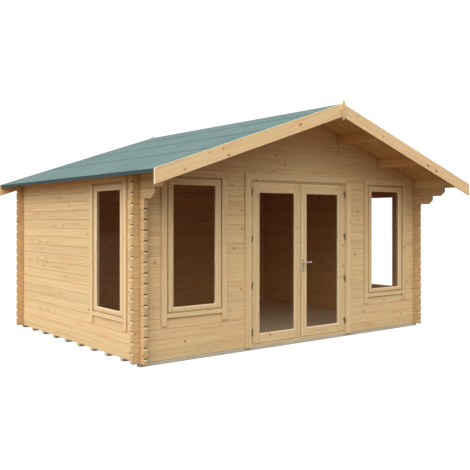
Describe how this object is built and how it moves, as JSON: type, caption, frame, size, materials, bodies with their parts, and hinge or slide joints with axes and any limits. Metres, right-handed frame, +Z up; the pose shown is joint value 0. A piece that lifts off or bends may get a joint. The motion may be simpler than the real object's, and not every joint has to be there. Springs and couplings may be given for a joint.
{
  "type": "log cabin",
  "caption": "Apex-roof log cabin with interlocking corners, a deep front canopy on corbels and purlins, a glazed double door and tall fixed windows",
  "frame": {"origin": "ground level, under the middle of the whole cabin including its roof overhangs", "axes": "+Z up; the door faces -Y; +X across the width, to the right of someone who faces the door"},
  "size_m": [5.222, 4.44, 3.015],
  "materials": {
    "log_timber": "planed spruce logs, clear and matt, with fine knots",
    "frame_timber": "planed spruce, matt",
    "door_timber": "planed spruce, matt",
    "trim_timber": "planed spruce, matt",
    "bargeboard_timber": "planed spruce, matt",
    "purlin_timber": "planed spruce, matt",
    "roof_boards": "tongue and groove boards, matt",
    "floor_timber": "tongue and groove boards, matt",
    "treated_bearer": "pressure treated, dull grey green",
    "roof_felt": "green mineral surfaced bitumen felt, rough",
    "glass": "clear flat glass",
    "hinge_steel": "plated steel, satin",
    "handle_steel": "brushed steel, satin"
  },
  "bodies": {
    "cabin": {"floor_bearers": "treated_bearer", "floor_boards": "floor_timber", "left_wall": "log_timber", "right_wall": "log_timber", "rear_wall": "log_timber", "front_wall_left": "log_timber", "front_wall_right": "log_timber", "front_gable": "log_timber", "left_corbel": "log_timber", "right_corbel": "log_timber", "left_wall_plate": "log_timber", "right_wall_plate": "log_timber", "ridge_purlin": "purlin_timber", "left_purlins": "purlin_timber", "right_purlins": "purlin_timber", "left_roof_boards": "roof_boards", "right_roof_boards": "roof_boards", "left_felt": "roof_felt", "right_felt": "roof_felt", "ridge_felt": "roof_felt", "front_left_bargeboard": "bargeboard_timber", "front_right_bargeboard": "bargeboard_timber", "rear_left_bargeboard": "bargeboard_timber", "rear_right_bargeboard": "bargeboard_timber", "front_finial": "bargeboard_timber", "rear_finial": "bargeboard_timber", "left_door_jamb": "frame_timber", "right_door_jamb": "frame_timber", "door_head": "frame_timber", "door_threshold": "frame_timber", "door_side_trims": "trim_timber", "door_head_trim": "trim_timber", "frame_hinges": "hinge_steel", "front_left_window": "frame_timber", "front_right_window": "frame_timber", "left_side_window": "frame_timber", "right_side_window": "frame_timber", "front_sashes": "frame_timber", "side_sashes": "frame_timber", "window_glass": "glass", "window_trims": "trim_timber"},
    "left_door": {"left_door_leaf": "door_timber", "left_door_glass": "glass", "left_door_hinges": "hinge_steel"},
    "right_door": {"right_door_leaf": "door_timber", "right_door_glass": "glass", "right_door_hinges": "hinge_steel", "handle_plates": "handle_steel"},
    "handle": {"door_lever": "handle_steel"}
  },
  "joints": [
    {"name": "left_door_hinge", "type": "hinge", "parent": "cabin", "child": "left_door", "pos_m": [-0.8065, -1.475, 0], "axis": [0, 0, -1], "range_deg": [0, 110]},
    {"name": "right_door_hinge", "type": "hinge", "parent": "cabin", "child": "right_door", "pos_m": [0.8065, -1.475, 0], "axis": [0, 0, 1], "range_deg": [0, 110]},
    {"name": "lever_turn", "type": "hinge", "parent": "right_door", "child": "handle", "pos_m": [0.042, -1.469, 1.032], "axis": [0, 1, 0], "range_deg": [0, 45], "stiffness_Nm_per_rad": 1.5, "springref_deg": -22.92}
  ]
}
